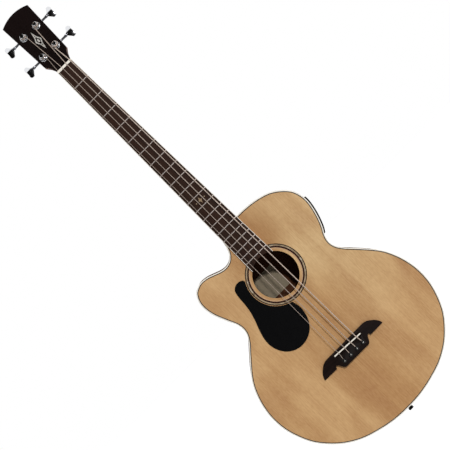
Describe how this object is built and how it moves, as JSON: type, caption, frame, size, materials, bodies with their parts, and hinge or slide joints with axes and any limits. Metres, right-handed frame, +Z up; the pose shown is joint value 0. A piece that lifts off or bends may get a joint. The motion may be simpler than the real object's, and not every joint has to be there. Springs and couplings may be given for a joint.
{
  "type": "acoustic bass guitar",
  "caption": "Left-handed acoustic bass guitar: deep hollow body with a rounded cutaway, tilted headstock with open tuners, pinned bridge, pickguard, side preamp and end pin jack.",
  "frame": {"origin": "centreline at the nut's front edge, in the plane shared by the neck's top and the soundboard's face, where a wall hanger's yoke holds the headstock", "axes": "+Z up the neck towards the headstock, -Y the front (strings), +X the viewer's right of the front, the thickest string's side"},
  "size_m": [0.464, 0.1426, 1.2579],
  "materials": {
    "spruce_top": "gloss",
    "brace_spruce": "raw",
    "mahogany": "gloss",
    "rosewood": "satin",
    "black_overlay": "gloss",
    "ivory": "satin",
    "abalone": "iridescent gloss",
    "chrome": "polished",
    "steel": "satin",
    "string_bronze": "wound",
    "black_plastic": "satin",
    "black_gloss": "gloss"
  },
  "bodies": {
    "guitar": {"headstock_overlay": "black_overlay", "tuner_bushing_g": "chrome", "tuner_housing_g": "chrome", "tuner_bushing_d": "chrome", "tuner_housing_d": "chrome", "tuner_bushing_a": "chrome", "tuner_housing_a": "chrome", "tuner_bushing_e": "chrome", "tuner_housing_e": "chrome", "soundboard": "spruce_top", "rosette": "abalone", "back_plate": "mahogany", "top_binding": "ivory", "back_binding": "ivory", "side_bass": "mahogany", "side_treble": "mahogany", "neck_block": "mahogany", "end_block": "mahogany", "top_lining_bass": "brace_spruce", "back_lining_bass": "brace_spruce", "top_lining_treble": "brace_spruce", "back_lining_treble": "brace_spruce", "cross_brace_bass": "brace_spruce", "cross_brace_treble": "brace_spruce", "transverse_brace": "brace_spruce", "tone_bar": "brace_spruce", "bridge_plate": "mahogany", "back_brace_upper": "brace_spruce", "back_brace_lower": "brace_spruce", "pickguard": "black_plastic", "bridge": "rosewood", "saddle": "ivory", "bridge_pin_g": "black_gloss", "bridge_pin_d": "black_gloss", "bridge_pin_a": "black_gloss", "bridge_pin_e": "black_gloss", "neck": "mahogany", "truss_rod": "steel", "fingerboard": "rosewood", "nut": "ivory", "string_g": "string_bronze", "string_d": "string_bronze", "string_a": "string_bronze", "string_e": "string_bronze", "preamp": "black_plastic", "end_pin_jack": "black_gloss", "strap_button": "chrome"},
    "tuner_post_g": {"tuner_post_g": "chrome"},
    "tuner_post_d": {"tuner_post_d": "chrome"},
    "tuner_post_a": {"tuner_post_a": "chrome"},
    "tuner_post_e": {"tuner_post_e": "chrome"},
    "tuner_key_g": {"tuner_key_g": "chrome"},
    "tuner_key_d": {"tuner_key_d": "chrome"},
    "tuner_key_a": {"tuner_key_a": "chrome"},
    "tuner_key_e": {"tuner_key_e": "chrome"},
    "volume_knob": {"volume_knob": "black_gloss"},
    "bass_knob": {"bass_knob": "black_gloss"},
    "treble_knob": {"treble_knob": "black_gloss"},
    "tuner_button": {"tuner_button": "black_gloss"},
    "truss_rod_nut": {"truss_rod_nut": "steel"}
  },
  "joints": [
    {"name": "key_turn_g", "type": "hinge", "parent": "guitar", "child": "tuner_key_g", "pos_m": [-0.0197, 0.03414, 0.05316], "axis": [-1, 0, 0], "continuous": true},
    {"name": "post_turn_g", "type": "hinge", "parent": "guitar", "child": "tuner_post_g", "pos_m": [-0.0197, 0.01137, 0.0511], "axis": [0, -0.9703, 0.2419], "continuous": true},
    {"name": "key_turn_d", "type": "hinge", "parent": "guitar", "child": "tuner_key_d", "pos_m": [-0.0197, 0.05004, 0.1169], "axis": [-1, 0, 0], "continuous": true},
    {"name": "post_turn_d", "type": "hinge", "parent": "guitar", "child": "tuner_post_d", "pos_m": [-0.0197, 0.02726, 0.11485], "axis": [0, -0.9703, 0.2419], "continuous": true},
    {"name": "key_turn_a", "type": "hinge", "parent": "guitar", "child": "tuner_key_a", "pos_m": [0.0197, 0.05004, 0.1169], "axis": [1, 0, 0], "continuous": true},
    {"name": "post_turn_a", "type": "hinge", "parent": "guitar", "child": "tuner_post_a", "pos_m": [0.0197, 0.02726, 0.11485], "axis": [0, -0.9703, 0.2419], "continuous": true},
    {"name": "key_turn_e", "type": "hinge", "parent": "guitar", "child": "tuner_key_e", "pos_m": [0.0197, 0.03414, 0.05316], "axis": [1, 0, 0], "continuous": true},
    {"name": "post_turn_e", "type": "hinge", "parent": "guitar", "child": "tuner_post_e", "pos_m": [0.0197, 0.01137, 0.0511], "axis": [0, -0.9703, 0.2419], "continuous": true},
    {"name": "volume_turn", "type": "hinge", "parent": "guitar", "child": "volume_knob", "pos_m": [0.16488, 0.04428, -0.5971], "axis": [0.9895, 0, -0.1446], "range_deg": [-140, 140]},
    {"name": "bass_turn", "type": "hinge", "parent": "guitar", "child": "bass_knob", "pos_m": [0.15966, 0.04428, -0.62174], "axis": [0.9657, 0, -0.2597], "range_deg": [-140, 140]},
    {"name": "treble_turn", "type": "hinge", "parent": "guitar", "child": "treble_knob", "pos_m": [0.15082, 0.04428, -0.64638], "axis": [0.9161, 0, -0.4009], "range_deg": [-140, 140]},
    {"name": "button_press", "type": "slide", "parent": "guitar", "child": "tuner_button", "axis": [-0.9657, 0, 0.2597], "range_m": [0, 0.0012], "stiffness_N_per_m": 400, "springref_m": -0.0005},
    {"name": "rod_adjust", "type": "hinge", "parent": "guitar", "child": "truss_rod_nut", "pos_m": [0, 0.009, -0.5553], "axis": [0, 0, 1], "range_deg": [-180, 180]}
  ],
  "couplings": [
    {"joint": "post_turn_g", "follows": "key_turn_g", "ratio": 0.05},
    {"joint": "post_turn_d", "follows": "key_turn_d", "ratio": 0.05},
    {"joint": "post_turn_a", "follows": "key_turn_a", "ratio": 0.05},
    {"joint": "post_turn_e", "follows": "key_turn_e", "ratio": 0.05}
  ]
}
